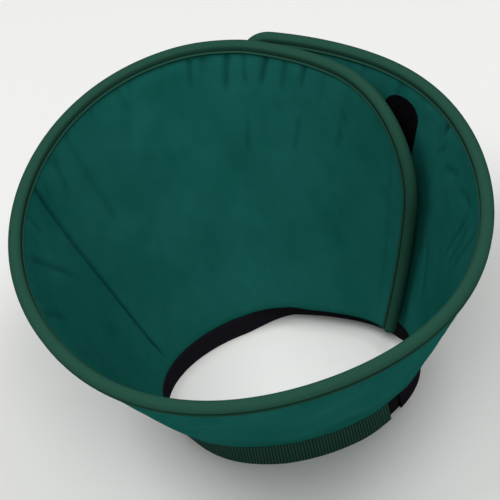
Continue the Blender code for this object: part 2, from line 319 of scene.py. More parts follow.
def start_material(name, colour, roughness, ior=1.5):
    """New material with its shader's uniform values set; gives the material, its tree and shader.
    Cloth's loose fibres break up its shine, so the specular level is 0."""
    made = bpy.data.materials.new(name)
    made.use_nodes = True
    shader = made.node_tree.nodes["Principled BSDF"]
    shader.inputs["Base Color"].default_value = linear(colour)
    shader.inputs["Roughness"].default_value = roughness
    shader.inputs["IOR"].default_value = ior
    shader.inputs["Specular IOR Level"].default_value = 0.0
    return made, made.node_tree, shader


def new_piece(name, points, faces, surface):
    """Smooth mesh of points and faces with its one material, put into the scene."""
    mesh = bpy.data.meshes.new(name)
    mesh.from_pydata(points.reshape(-1, 3).tolist(), [], faces)
    mesh.polygons.foreach_set("use_smooth", np.ones(len(mesh.polygons), bool))
    mesh.update()
    mesh.materials.append(surface)
    piece = bpy.data.objects.new(name, mesh)
    bpy.context.scene.collection.objects.link(piece)
    return piece


def skin(name, points, u, v, surface):
    """Closed piece from outlines carried along a path: points is (steps, outline, 3).

    u gives each step's place along the path and v each outline point's place round it, one more
    than the outline has points, both in metres for the UV map. The ends are closed by strips
    between the two halves of the outline.
    """
    steps, count = points.shape[:2]
    i, j = np.meshgrid(np.arange(steps - 1), np.arange(count), indexing="ij")
    i, j = i.ravel(), j.ravel()
    k = (j + 1) % count
    faces = np.stack([i * count + j, i * count + k, (i + 1) * count + k, (i + 1) * count + j], axis=1)
    u_of = np.stack([u[i], u[i], u[i + 1], u[i + 1]], axis=1)
    v_of = np.stack([v[j], v[j + 1], v[j + 1], v[j]], axis=1)
    j = np.arange(count // 2)
    cap = np.stack([j, (count - j) % count, (count - j - 1) % count, j + 1], axis=1)
    faces = np.concatenate([faces, cap, (steps - 1) * count + cap[:, ::-1]])
    for at, order in ((u[0], cap), (u[-1], cap[:, ::-1])):
        u_of = np.concatenate([u_of, np.full(order.shape, at)])
        v_of = np.concatenate([v_of, v[order]])
    flat = points.reshape(-1, 3)
    a, b, c, d = (flat[faces[:, n]] for n in range(4))
    volume = np.einsum("ij,ij->i", a, np.cross(b, c)) + np.einsum("ij,ij->i", a, np.cross(c, d))
    # a negative volume means that the faces point inwards
    if volume.sum() < 0:
        faces, u_of, v_of = faces[:, ::-1], u_of[:, ::-1], v_of[:, ::-1]
    # a strip whose two ends fall on one point keeps only its three corners
    rows = [tuple(dict.fromkeys(row)) for row in faces.tolist()]
    keep = [len(row) > 2 for row in rows]
    piece = new_piece(name, flat, [row for row, ok in zip(rows, keep) if ok], surface)
    uv = np.concatenate([np.stack([us, vs], axis=1)[[row.index(p) for p in dict.fromkeys(row)]]
                         for row, us, vs, ok in zip(faces.tolist(), u_of, v_of, keep) if ok])
    piece.data.uv_layers.new(name="Lengths").data.foreach_set("uv", uv.ravel())
    return piece


def wave_scale(pitch):
    """Scale of a wave texture for bands this far apart: it turns 20 radians for each unit of scale."""
    return 2 * np.pi / pitch / 20


def weave(tree, warp_pitch, weft_pitch, distortion):
    """Plain weave on the Lengths map: bands along the piece times bands across it; gives the product."""
    place = add_node(tree, "ShaderNodeUVMap", uv_map="Lengths")
    warp = add_node(tree, "ShaderNodeTexWave", [("Vector", place.outputs[0])],
                    bands_direction="X", Scale=wave_scale(warp_pitch), Distortion=distortion, Detail=1.0)
    weft = add_node(tree, "ShaderNodeTexWave", [("Vector", place.outputs[0])],
                    bands_direction="Y", Scale=wave_scale(weft_pitch), Distortion=distortion, Detail=1.0)
    return add_node(tree, "ShaderNodeMath", [(0, warp.outputs["Fac"]), (1, weft.outputs["Fac"])],
                    operation="MULTIPLY")


def padded_polyester():
    """Smooth woven polyester over foam: dense fine threads that look matt and even, with a faint
    cloudiness of colour at random."""
    made, tree, shader = start_material("Woven polyester, padded", "#185B54", 0.8)
    # threads of 0.35 mm are too fine for the render, so the weave is drawn at 0.8 mm
    both = weave(tree, 0.0008, 0.0008, 0.4)
    spot = add_node(tree, "ShaderNodeTexCoord")
    cloud = add_node(tree, "ShaderNodeTexNoise", [("Vector", spot.outputs["Object"])],
                     Scale=28.0, Detail=3.0, Roughness=0.55)
    tone = add_node(tree, "ShaderNodeValToRGB", [("Fac", cloud.outputs["Fac"])],
                    ((0.3, "#14574F"), (0.72, "#1C5F58")))
    # painted shade darkens the creases and a painted highlight lightens the crests, by the height that the
    # mesh stores for each point
    relief = add_node(tree, "ShaderNodeAttribute", attribute_name="PaintedReliefShade")
    shade = add_node(tree, "ShaderNodeMapRange", [("Value", relief.outputs["Fac"])],
                     From_Min=-1.0, From_Max=1.0, To_Min=0.4, To_Max=1.6)
    shaded = add_node(tree, "ShaderNodeVectorMath", [(0, tone.outputs[0]), ("Scale", shade.outputs[0])],
                      operation="SCALE")
    tree.links.new(shader.inputs["Base Color"], shaded.outputs[0])
    bump = add_node(tree, "ShaderNodeBump", [("Height", both.outputs[0])], Strength=0.18, Distance=0.0001)
    soft = add_node(tree, "ShaderNodeTexNoise", [("Vector", spot.outputs["Object"])],
                    Scale=160.0, Detail=2.0)
    over = add_node(tree, "ShaderNodeBump", [("Height", soft.outputs["Fac"]), ("Normal", bump.outputs[0])],
                    Strength=0.25, Distance=0.0004)
    tree.links.new(shader.inputs["Normal"], over.outputs[0])
    return made


def top_line(beyond, columns, corner_out, corner_in):
    """Winding and rise along a line this far beyond the panel's top edge: round the outer end's
    corner, along the mouth line and round the inner end's corner."""
    outer_from, outer_below = end_outline(OUTER_CORNER, beyond, corner_out)
    inner_from, inner_below = end_outline(INNER_CORNER, beyond, corner_in)
    per_degree = metres_per_degree(np.array([0.0, SHEET_TURN]), np.array([1.0, 1.0]))
    first = outer_from / per_degree[0]
    last = SHEET_TURN - inner_from[::-1] / per_degree[1]
    middle = np.linspace(first[-1], last[0], columns)[1:-1]
    travel = np.concatenate([first, middle, last])
    below = np.concatenate([outer_below, np.full(len(middle), -beyond), inner_below[::-1]])
    return travel, 1.0 - below / wall_length(travel)


def panel_grid(columns, rows, corner_out, corner_in):
    """Winding and rise of each point of one face, column by column from the neck edge to the mouth."""
    travel_top, rise_top = top_line(EDGE_INTO_ROUND, columns, corner_out, corner_in)
    rise = rise_top[:, None] * np.linspace(0.0, 1.0, rows)[None, :]
    travel = np.repeat(travel_top[:, None], rows, axis=1)
    for end, side, at in ((0.0, -1.0, slice(0, corner_out + 1)),
                          (SHEET_TURN, 1.0, slice(-corner_in - 1, None))):
        margin = side * EDGE_INTO_ROUND / metres_per_degree(np.full_like(rise[at], end), rise[at])
        travel[at] += margin - margin[:, -1:]
    return travel, rise


NET_COLUMNS = 260
NET_ROWS = 26
NET_CORNER_OUT = 7
NET_CORNER_IN = 13
SETTLE_FRAMES = 12
# the seams are held in full, the rest by a share, as the foam holds it; springs between the faces
# stand for the foam, and the cloth is cut larger than its seams by a negative shrinkage
HELD_SHARE = 0.5
CLOTH = (("vertex_group_mass", "held"), ("pin_stiffness", 20.0), ("bending_stiffness", 0.02),
         ("use_pressure", True), ("uniform_pressure_force", 4.0), ("shrink_min", -0.04),
         ("use_internal_springs", True), ("internal_spring_max_length", 0.008),
         ("internal_spring_max_diversion", 0.6), ("internal_tension_stiffness", 40.0),
         ("internal_compression_stiffness", 40.0))
MOVE_CAP = 0.001


def net_faces(columns, rows):
    """Faces of a closed pad: a net of quads, the same net turned over for the other face, and a strip
    round the rim that joins them."""
    i, j = np.meshgrid(np.arange(columns - 1), np.arange(rows - 1), indexing="ij")
    a = (i * rows + j).ravel()
    net = np.stack([a, a + 1, a + rows + 1, a + rows], axis=1)
    count = columns * rows
    rim = np.concatenate([np.arange(columns) * rows, (columns - 1) * rows + np.arange(1, rows),
                          np.arange(columns - 2, -1, -1) * rows + rows - 1, np.arange(rows - 2, 0, -1)])
    after = np.roll(rim, -1)
    strip = np.stack([rim, after, after + count, rim + count], axis=1)
    return np.concatenate([net, net[:, ::-1] + count, strip])


def settled_moves(travel, rise):
    """Cloth simulation of the pad on a coarse net: how far each face's points move off the wall. A
    move is kept under the cap by the cap times the hyperbolic tangent of its share of the cap."""
    out = wall_frame(travel, rise)[1]
    middle = wall_point(travel, rise)
    start = np.stack([middle + out * PRESSED_HALF, middle - out * PRESSED_HALF])
    columns, rows = travel.shape
    mesh = bpy.data.meshes.new("pad_net")
    mesh.from_pydata(start.reshape(-1, 3).tolist(), [], net_faces(columns, rows).tolist())
    net = bpy.data.objects.new("pad_net", mesh)
    bpy.context.scene.collection.objects.link(net)
    inside = np.zeros((2, columns, rows), bool)
    inside[:, 1:-1, 1:-1] = True
    held = net.vertex_groups.new(name="held")
    held.add(np.flatnonzero(~inside.ravel()).tolist(), 1.0, "REPLACE")
    held.add(np.flatnonzero(inside.ravel()).tolist(), HELD_SHARE, "REPLACE")
    cloth = net.modifiers.new("cloth", "CLOTH")
    for setting, value in CLOTH:
        setattr(cloth.settings, setting, value)
    cloth.settings.effector_weights.gravity = 0.0
    cloth.collision_settings.use_collision = False
    cloth.point_cache.frame_start, cloth.point_cache.frame_end = 1, SETTLE_FRAMES
    scene = bpy.context.scene
    for step in range(1, SETTLE_FRAMES + 1):
        scene.frame_set(step)
    placed = net.evaluated_get(bpy.context.evaluated_depsgraph_get()).to_mesh()
    end = np.empty(start.size)
    placed.vertices.foreach_get("co", end)
    moves = ((end.reshape(start.shape) - start) * out).sum(-1) * np.array([1.0, -1.0])[:, None, None]
    scene.frame_set(1)
    bpy.data.objects.remove(net)
    bpy.data.meshes.remove(mesh)
    return MOVE_CAP * np.tanh(moves / MOVE_CAP)


def read_between(values, columns, rows):
    """Values of a net read at fractional columns and rows: a straight mix of the four points around."""
    i = np.clip(columns.astype(int), 0, values.shape[0] - 2)[:, None]
    j = np.clip(rows.astype(int), 0, values.shape[1] - 2)[None, :]
    s, t = columns[:, None] - i, rows[None, :] - j
    return ((1 - s) * (1 - t) * values[i, j] + s * (1 - t) * values[i + 1, j]
            + (1 - s) * t * values[i, j + 1] + s * t * values[i + 1, j + 1])


def blurred(values, along_passes, up_passes):
    """Values smoothed by passes of a quarter, a half and a quarter, along the winding and up the wall."""
    for axis, passes in ((0, along_passes), (1, up_passes)):
        values = np.moveaxis(values, axis, 0)
        for _ in range(passes):
            wide = np.concatenate([values[:1], values, values[-1:]])
            values = (wide[:-2] + 2.0 * wide[1:-1] + wide[2:]) / 4.0
        values = np.moveaxis(values, 0, axis)
    return values


FREE_FROM_TAPE = 0.014
FREE_FROM_NECK = 0.012
GATHER_FROM_NECK = 0.02
DENT_FROM_TAPE = 0.002
MOVE_FROM_TAPE = 0.004
OUTER_LOOSE = 0.45
INNER_LOOSE = 0.75
# the fold's sharp line on the inner face: depth, half width in degrees, how square its sides are,
# and the shares of the slant over which it fades in at the neck and out at the mouth
LINE_DEPTH = 0.0019
LINE_SPREAD = 0.75
LINE_POWER = 1.6
LINE_FADE_IN = 0.1
LINE_FADE_OUT = 0.03
# painted shade and highlight of the relief: the height that counts as 1, passes of smoothing it is
# measured from, and how strongly crests and creases take it
RELIEF_HEIGHT = 0.001
RELIEF_BLUR = (24, 8)
CREST_SHADE = 0.4
CREASE_SHADE = 0.8


def panel_faces(travel, rise, moves):
    """Points of the outer and the inner face, and their relief from -1 in creases to 1 on crests; the
    relief sets the painted shade in the creases and the painted highlight on the crests.

    Each face lies off the middle of the wall by half the thickness, which is pressed at the seams,
    plus its settled moves, less its furrows; slow waves move both faces together.
    """
    out = wall_frame(travel, rise)[1]
    edge = edge_distance(travel, rise)
    neck = rise * wall_length(travel)
    from_tape = edge - PRESSED_RUN
    half = PRESSED_HALF + (OPEN_HALF - PRESSED_HALF) * ease(
        np.minimum(from_tape, neck - NECK_PRESSED_RUN) / SWELL_RUN)
    free = ease(from_tape / FREE_FROM_TAPE) * ease(neck / FREE_FROM_NECK)
    middle = wall_point(travel, rise)
    middle = middle + out * (free * waves(travel, rise))[..., None]
    line = (ease(rise / LINE_FADE_IN) * ease((1 - rise) / LINE_FADE_OUT)
            * np.exp(-(np.abs(off_fold(travel, rise)) / LINE_SPREAD) ** LINE_POWER))
    faces, relief_shades = [], []
    for side, gathers, move, loose, line in ((1.0, OUTER_GATHERS, moves[0], OUTER_LOOSE, 0.0 * line),
                                             (-1.0, INNER_GATHERS, moves[1], INNER_LOOSE, line)):
        table = np.concatenate([random_puckers(*row) for row in gathers])
        furrow = puckers(travel, from_tape, table) * ease(neck / GATHER_FROM_NECK)
        if side < 0:
            furrow = furrow + creases(travel, rise, SEEN_CREASES) * ease(from_tape / DENT_FROM_TAPE)
        raised = loose * move * ease(from_tape / MOVE_FROM_TAPE) - furrow
        faces.append(middle + out * (side * (half + raised - LINE_DEPTH * line))[..., None])
        # height above its smoothed self, less the fold's line: it paints shade into creases and highlight
        # onto crests
        relief = (raised - blurred(raised, *RELIEF_BLUR)) / RELIEF_HEIGHT - line
        relief = np.where(relief > 0.0, CREST_SHADE * relief, CREASE_SHADE * relief)
        relief_shades.append(np.clip(relief, -1.0, 1.0))
    return faces, relief_shades


PANEL_COLUMNS = 800
PANEL_ROWS = 52
CORNER_OUT = 14
CORNER_IN = 26
MOVES_BLUR = (10, 3)
travel, rise = panel_grid(PANEL_COLUMNS, PANEL_ROWS, CORNER_OUT, CORNER_IN)
moves = np.zeros((2, *travel.shape))
net_moves = settled_moves(*panel_grid(NET_COLUMNS, NET_ROWS, NET_CORNER_OUT, NET_CORNER_IN))
# the fine grid's columns on the net: its corners have their own count, the rest share out evenly
net_in_from = NET_CORNER_OUT + NET_COLUMNS - 1
net_at = np.concatenate([np.linspace(0, NET_CORNER_OUT, CORNER_OUT + 1),
                         np.linspace(NET_CORNER_OUT, net_in_from, PANEL_COLUMNS)[1:-1],
                         np.linspace(0, NET_CORNER_IN, CORNER_IN + 1) + net_in_from])
row_at = np.linspace(0, NET_ROWS - 1, PANEL_ROWS)
moves = np.stack([blurred(read_between(face, net_at, row_at), *MOVES_BLUR) for face in net_moves])
(outer_face, inner_face), (outer_relief_shade, inner_relief_shade) = panel_faces(travel, rise, moves)

MOUTH_BULGE = 0.0008
ROUND_STEPS = 3
ROUND_SPACING = 0.0015
# the neck edge's hem: shares of the way from the inner to the outer face, and the height of each
HEM_AT = (0.06, 0.35, 0.72)
HEM_HEIGHTS = (0.0172, 0.0167, 0.0167)
MEASURED_ROW = 40


def rounded_over(a, b, bulge, steps, outward):
    """Points between two edges on a half round whose height is bulge: a cosine mix of the edges,
    moved outward by the sine."""
    turn = np.linspace(0.0, np.pi, steps + 2)[1:-1]
    mix = (1 - np.cos(turn)) / 2
    return (a[:, None] * (1 - mix)[None, :, None] + b[:, None] * mix[None, :, None]
            + outward[:, None] * (bulge * np.sin(turn))[None, :, None])


def hem_over(inside, outside):
    """Neck edge: straight down from the inner face to just above the ring, level across, and up to
    the outer face."""
    hem = [inside * (1 - mix) + outside * mix for mix in HEM_AT]
    for points, height in zip(hem, HEM_HEIGHTS):
        points[:, 2] = height
    return np.stack(hem, axis=1)


up_at_mouth = wall_frame(travel[:, -1], rise[:, -1])[0]
panel_rings = np.concatenate([
    outer_face,
    rounded_over(outer_face[:, -1], inner_face[:, -1], MOUTH_BULGE, ROUND_STEPS, up_at_mouth),
    inner_face[:, ::-1],
    hem_over(inner_face[:, 0], outer_face[:, 0]),
], axis=1)
round_v = np.arange(1, ROUND_STEPS + 1) * ROUND_SPACING
round_run = (ROUND_STEPS + 1) * ROUND_SPACING
slant = np.linspace(0.0, SLANT_LENGTH, PANEL_ROWS)
panel_v = np.concatenate([slant, SLANT_LENGTH + round_v, SLANT_LENGTH + round_run + slant,
                          2 * SLANT_LENGTH + round_run + np.append(round_v, round_run)])
panel_u = run_along(wall_point(travel[:, MEASURED_ROW], rise[:, MEASURED_ROW]))
# the outline starts half way up the neck edge's rounding, so that the closing strips pair up
panel_rings = np.roll(panel_rings, 2, axis=1)
panel_v = np.concatenate([[-2 * ROUND_SPACING, -ROUND_SPACING], panel_v[:-2]])
panel = skin("padded_panel", panel_rings, panel_u, panel_v, padded_polyester())
level = np.zeros((len(travel), ROUND_STEPS))
# painted shade and highlight for each point, level on the rounded edges
relief = np.roll(np.concatenate([outer_relief_shade, level, inner_relief_shade[:, ::-1], level], axis=1), 2, axis=1)
panel.data.attributes.new("PaintedReliefShade", "FLOAT", "POINT").data.foreach_set("value", relief.ravel())
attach(panel, "root")
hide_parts("cone_panel")


# The binding tape: grosgrain folded over the panel's raw edge and stitched through close to its own
# edges, up one end, round the mouth and down the other. The seam sinks in and leaves a thin lip.
TAPE_HALF = 0.00393
TAPE_LEG = 0.0028
TAPE_FOOT = 0.00262
STITCH_FROM_EDGE = 0.0014
SEAM_LINE = -TAPE_LEG + STITCH_FROM_EDGE
# each leg of the fold: out to its lip, out to the seam's bottom, and where the round crown starts
OUTER_LEG = (0.00412, 0.00275, 0.00197)
INNER_LEG = (0.00405, 0.00308, 0.001)
TAPE_STEP = 0.0013
TAPE_RIB = 0.00115
STITCH_PITCH = 0.003
STITCH_SHARE = 0.78
STITCH_THREAD = 0.00016


def even_path(points, spacing):
    """Lengths along a path at about this even spacing, and the length at each of its own points."""
    length = run_along(points)
    steps = int(round(length[-1] / spacing))
    at = np.linspace(0.0, length[-1], steps + 1)
    return at, length


def binding_line(corner_out, corner_in, columns, up_steps, down_steps):
    """Winding and rise along the tape's line: up the outer end, round its corner, round the mouth,
    round the inner corner and down the inner end."""
    travel, rise = top_line(0.0, columns, corner_out, corner_in)
    lengths = wall_length(np.array([0.0, SHEET_TURN]))
    up = np.linspace(0.0, 1.0 - OUTER_CORNER / lengths[0], up_steps)[:-1]
    down = np.linspace(1.0 - INNER_CORNER / lengths[1], 0.0, down_steps)[1:]
    return np.concatenate([0 * up, travel, 0 * down + SHEET_TURN]), np.concatenate([up, rise, down])


def binding_frame(travel, rise):
    """The tape's line and its two directions: beyond the panel's edge, and out of the wall."""
    line = wall_point(travel, rise)
    run = unit(np.gradient(line, axis=0))
    out = wall_frame(travel, rise)[1]
    out = unit(out - (out * run).sum(1, keepdims=True) * run)
    return line, np.cross(run, out), out


def resampled(values, length, at):
    """Values along the path read again at other lengths."""
    return np.stack([np.interp(at, length, values[:, k]) for k in range(values.shape[1])], axis=1)


tape_frame = binding_frame(*binding_line(24, 40, 900, 60, 50))
tape_at, tape_length = even_path(tape_frame[0], TAPE_STEP)
tape_line, tape_beyond, tape_out = (resampled(values, tape_length, tape_at) for values in tape_frame)
tape_beyond, tape_out = unit(tape_beyond), unit(tape_out)


def tape_outline(flare, floor, start):
    """Half of the tape's outline in its section, as (beyond the edge, out of the wall): from the inside
    of the lip, round the lip, down into the seam, up the leg and round a quarter of the crown."""
    lip = [(-TAPE_LEG + 0.0006, TAPE_FOOT - 0.0002), (-TAPE_LEG, TAPE_FOOT),
           (-TAPE_LEG - 0.00022, flare - 0.00055), (-TAPE_LEG - 0.00012, flare - 0.00012),
           (-TAPE_LEG + 0.00015, flare)]
    foot = floor + 0.00014
    sink = [(SEAM_LINE - 0.0007, (flare + floor) / 2 + 0.00012), (SEAM_LINE - 0.00035, floor + 0.00028),
            (SEAM_LINE - 0.0001, floor), (SEAM_LINE + 0.0001, floor), (SEAM_LINE + 0.0005, foot)]
    turn = np.linspace(np.arccos(start / TAPE_HALF), 0.0, 9)
    crown = [(TAPE_HALF * np.cos(t), TAPE_HALF * np.sin(t)) for t in turn]
    # the leg leans, so that the seam shows from above the mouth
    leg = [(SEAM_LINE + mix * (start - SEAM_LINE), foot + mix * (crown[0][1] - foot))
           for mix in (0.45, 0.75)]
    return np.array(lip + sink + leg + crown)


# both legs, and the pocket that takes the panel's edge, where the outline starts
pocket = [(-0.0012, 0.0004 - TAPE_FOOT), (0.0014, 0.0), (-0.0012, TAPE_FOOT - 0.0004)]
inner_half = (tape_outline(*INNER_LEG) * [1, -1])[::-1]
tape_section = np.roll(np.concatenate([tape_outline(*OUTER_LEG), inner_half[1:], pocket]), 2, axis=0)
tape_rings = (tape_line[:, None] + tape_section[None, :, :1] * tape_beyond[:, None]
              + tape_section[None, :, 1:] * tape_out[:, None])
tape_v = run_along(np.concatenate([tape_section, tape_section[:1]]))


def grosgrain():
    """Grosgrain ribbon: woven polyester with close ribs across its width, matt, with a painted
    highlight on top of the ribs."""
    made, tree, shader = start_material("Grosgrain tape, polyester", "#254A3D", 0.85)
    place = add_node(tree, "ShaderNodeUVMap", uv_map="Lengths")
    ribs = add_node(tree, "ShaderNodeTexWave", [("Vector", place.outputs[0])],
                    bands_direction="X", Scale=wave_scale(TAPE_RIB), Distortion=0.5, Detail=2.0)
    # painted highlight on the rib tops and painted shade between them
    tone = add_node(tree, "ShaderNodeValToRGB", [("Fac", ribs.outputs["Fac"])],
                    ((0.15, "#23483B"), (0.9, "#295043")))
    # painted shade darkens the furrow that the stitching draws in, by the share that the mesh stores for
    # each point
    painted_seam_shade = add_node(tree, "ShaderNodeAttribute", attribute_name="PaintedSeamShade")
    shade = add_node(tree, "ShaderNodeMapRange", [("Value", painted_seam_shade.outputs["Fac"])], To_Min=1.0, To_Max=0.3)
    shaded = add_node(tree, "ShaderNodeVectorMath", [(0, tone.outputs[0]), ("Scale", shade.outputs[0])],
                      operation="SCALE")
    tree.links.new(shader.inputs["Base Color"], shaded.outputs[0])
    bump = add_node(tree, "ShaderNodeBump", [("Height", ribs.outputs["Fac"])],
                    Strength=0.2, Distance=0.00012)
    tree.links.new(shader.inputs["Normal"], bump.outputs[0])
    return made


tape = skin("binding_tape", tape_rings, tape_at, tape_v, grosgrain())
# painted shade in the seam's furrow, fading out about half a millimetre from its line
painted_seam_shade = np.clip(1.35 - np.abs(tape_section[:, 0] - SEAM_LINE) / 0.0004, 0.0, 1.0)
painted_seam_shade = np.tile(painted_seam_shade, len(tape_rings))
tape.data.attributes.new("PaintedSeamShade", "FLOAT", "POINT").data.foreach_set("value", painted_seam_shade)
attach(tape, "root")
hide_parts("rim_binding")


def thread_rows(starts, ends, lifts, radius, name, surface):
    """Stitches as short bowed rods: each runs straight from start to end, lifted in the middle by a
    sine, thinning to its ends by the root of it, and is closed there."""
    sides, bends = 5, 4
    share = np.linspace(0.0, 1.0, bends + 1)
    axis = ends - starts
    middle = (starts[:, None] + axis[:, None] * share[None, :, None]
              + lifts[:, None] * (np.sin(share * np.pi) * radius * 1.2)[None, :, None])
    across = unit(np.cross(axis, lifts))
    turn = np.linspace(0.0, 2 * np.pi, sides, endpoint=False)
    round_ = (across[:, None, None] * np.cos(turn)[None, None, :, None]
              + lifts[:, None, None] * np.sin(turn)[None, None, :, None])
    thick = radius * (0.35 + 0.65 * np.sin(share * np.pi) ** 0.5)
    points = middle[:, :, None] + round_ * thick[None, :, None, None]
    count, rings = len(starts), bends + 1
    n, i, j = np.meshgrid(np.arange(count), np.arange(bends), np.arange(sides), indexing="ij")
    base = (n * rings + i) * sides
    after = base + (j + 1) % sides
    quads = np.stack([base + j, after, after + sides, base + sides + j], axis=-1).reshape(-1, 4)
    first = np.arange(count)[:, None] * rings * sides + np.arange(sides)[None, ::-1]
    last = np.arange(count)[:, None] * rings * sides + bends * sides + np.arange(sides)[None, :]
    return new_piece(name, points, quads.tolist() + first.tolist() + last.tolist(), surface)


def sewing_thread():
    """Spun polyester sewing thread, a little darker than the tape, matt."""
    made, tree, shader = start_material("Sewing thread, polyester", "#16302A", 0.85)
    spot = add_node(tree, "ShaderNodeTexCoord")
    twist = add_node(tree, "ShaderNodeTexNoise", [("Vector", spot.outputs["Object"])],
                     Scale=2600.0, Detail=1.0)
    bump = add_node(tree, "ShaderNodeBump", [("Height", twist.outputs["Fac"])],
                    Strength=0.4, Distance=0.0001)
    tree.links.new(shader.inputs["Normal"], bump.outputs[0])
    return made


def seam_points(side, floor, at):
    """Bottom of the seam's furrow on one side of the tape, at lengths along it."""
    height = side * (floor + STITCH_THREAD * 0.8)
    return resampled(tape_line + SEAM_LINE * tape_beyond + height * tape_out, tape_at, at)


stitch_at = np.arange(0.002, tape_at[-1] - 0.004, STITCH_PITCH)
starts, ends, lifts = [], [], []
for side, leg in ((1.0, OUTER_LEG), (-1.0, INNER_LEG)):
    starts.append(seam_points(side, leg[1], stitch_at))
    ends.append(seam_points(side, leg[1], stitch_at + STITCH_PITCH * STITCH_SHARE))
    lifts.append(side * resampled(tape_out, tape_at, stitch_at))
stitches = thread_rows(np.concatenate(starts), np.concatenate(ends), np.concatenate(lifts),
                       STITCH_THREAD, "binding_stitches", sewing_thread())
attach(stitches, "root")


# The neck band: wide ribbed elastic sewn under the panel's lower edge at the front. Its rubber threads
# are wrapped in polyester and stand up as ribs across the band. Its foot leans out at the front and
# turns in on the right as worn.
BAND_HEIGHT = 0.0163
BAND_THICKNESS = 0.002
BAND_START = -48.0
BAND_END = -160.0
# azimuth, and the angle by which the foot leans out there
BAND_LEAN = np.array([(-160.0, -22.0), (-148.0, -20.0), (-138.0, -12.0), (-130.0, -5.0),
                      (-118.0, 3.0), (-100.0, 9.0), (-62.0, 8.0), (-48.0, 2.0)])
BAND_COLUMNS = 1000
RIB_PITCH = 0.00185
RIB_DEPTH = 0.00036
BAND_HEM = 0.0042
BAND_LINE = PANEL_THICKNESS / 2 - BAND_THICKNESS
EDGE_ROUND = 0.0005


def neck_outward(azimuth):
    """Level unit vector square to the neck oval, away from the neck."""
    a = np.radians(azimuth)
    return unit(np.stack([np.cos(a) / NECK_HALF_WIDTH, np.sin(a) / NECK_HALF_DEPTH, 0 * a], axis=-1))


def upright_outline(rows):
    """Outline of an upright strip, as height and side from -0.5 to 0.5: up the outer face, over the
    rounded top edge, down the inner face and round the bottom edge."""
    z = np.linspace(EDGE_ROUND, BAND_HEIGHT - EDGE_ROUND, rows)
    turn = np.linspace(0.0, np.pi, 5)[1:-1]
    top = [(BAND_HEIGHT - EDGE_ROUND + EDGE_ROUND * np.sin(t), 0.5 * np.cos(t)) for t in turn]
    bottom = [(EDGE_ROUND - EDGE_ROUND * np.sin(t), -0.5 * np.cos(t)) for t in turn]
    return np.array([(h, 0.5) for h in z] + top + [(h, -0.5) for h in z[::-1]] + bottom)


def upright_rings(azimuth, inset, lean, thickness, outline, relief):
    """Points of a strip standing on the neck ring: out from the oval by inset and by side times the
    thickness, more at the foot by the lean's tangent; relief moves both faces away from the middle."""
    height, side = outline.T
    foot = np.tan(np.radians(lean)) * BAND_HEIGHT
    shift = (np.atleast_1d(inset)[:, None] + side * (thickness + 2.0 * relief)
             + foot[:, None] * (1.0 - height / BAND_HEIGHT))
    points = neck_line(azimuth)[:, None] + neck_outward(azimuth)[:, None] * shift[..., None]
    points[..., 2] = height
    return np.roll(points, 1, axis=1)


def outline_lengths(outline, thickness):
    """Place of each outline point round it, one more than it has points."""
    flat = outline * [1.0, thickness]
    return run_along(np.concatenate([flat, flat[:1]]))


band_azimuth = np.linspace(BAND_START, BAND_END, BAND_COLUMNS)
band_run = run_along(neck_line(band_azimuth))
# the corners of the table's line are rounded by a running mean
band_lean = np.pad(np.interp(band_azimuth, *BAND_LEAN.T), 40, mode="edge")
band_lean = np.convolve(band_lean, np.ones(81) / 81, mode="valid")
outline = upright_outline(12)
height = outline[:, 0]
# ribs fade into a plain folded hem at each end, and near the stitched top and the selvedge
ribbed = ease((band_run - BAND_HEM) / 0.001) * ease((band_run[-1] - band_run - BAND_HEM) / 0.001)
upright = ease((height - 0.0004) / 0.0012) * ease((BAND_HEIGHT - 0.0006 - height) / 0.0012)
ribs = (np.abs(np.sin(np.pi * band_run / RIB_PITCH)) ** 0.7 - 1.0)[:, None] * RIB_DEPTH
ribs = ribs * ribbed[:, None] * upright
seam = -0.00022 * np.exp(-((height - (BAND_HEIGHT - 0.0022)) / 0.0005) ** 2)
hem_step = 0.00012 * (1.0 - ribbed)[:, None]
band_rings = upright_rings(band_azimuth, BAND_LINE, band_lean, BAND_THICKNESS, outline,
                           ribs + seam + hem_step)


def ribbed_elastic():
    """Wrapped rubber threads side by side: dark green matt yarn, with painted shade in the furrows
    between ribs and a painted highlight on their crests."""
    made, tree, shader = start_material("Ribbed elastic, wrapped yarn", "#213830", 0.9)
    place = add_node(tree, "ShaderNodeUVMap", uv_map="Lengths")
    split = add_node(tree, "ShaderNodeSeparateXYZ", [(0, place.outputs[0])])
    # the furrows lie where the length is a whole number of rib pitches
    turn = add_node(tree, "ShaderNodeMath", [(0, split.outputs[0])], operation="MULTIPLY")
    turn.inputs[1].default_value = np.pi / RIB_PITCH
    wave = add_node(tree, "ShaderNodeMath", [(0, turn.outputs[0])], operation="SINE")
    crest = add_node(tree, "ShaderNodeMath", [(0, wave.outputs[0])], operation="ABSOLUTE")
    # painted shade in the furrows and painted highlight on the rib crests
    tone = add_node(tree, "ShaderNodeValToRGB", [("Fac", crest.outputs[0])],
                    ((0.1, "#13241E"), (0.75, "#2F5045")))
    tree.links.new(shader.inputs["Base Color"], tone.outputs[0])
    wrap = add_node(tree, "ShaderNodeTexWave", [("Vector", place.outputs[0])],
                    bands_direction="Y", Scale=wave_scale(0.0009), Distortion=0.8, Detail=1.0)
    bump = add_node(tree, "ShaderNodeBump", [("Height", wrap.outputs["Fac"])],
                    Strength=0.3, Distance=0.0001)
    tree.links.new(shader.inputs["Normal"], bump.outputs[0])
    return made


band = skin("neck_band_elastic", band_rings, band_run, outline_lengths(outline, BAND_THICKNESS),
            ribbed_elastic())
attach(band, "root")
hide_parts("neck_band")


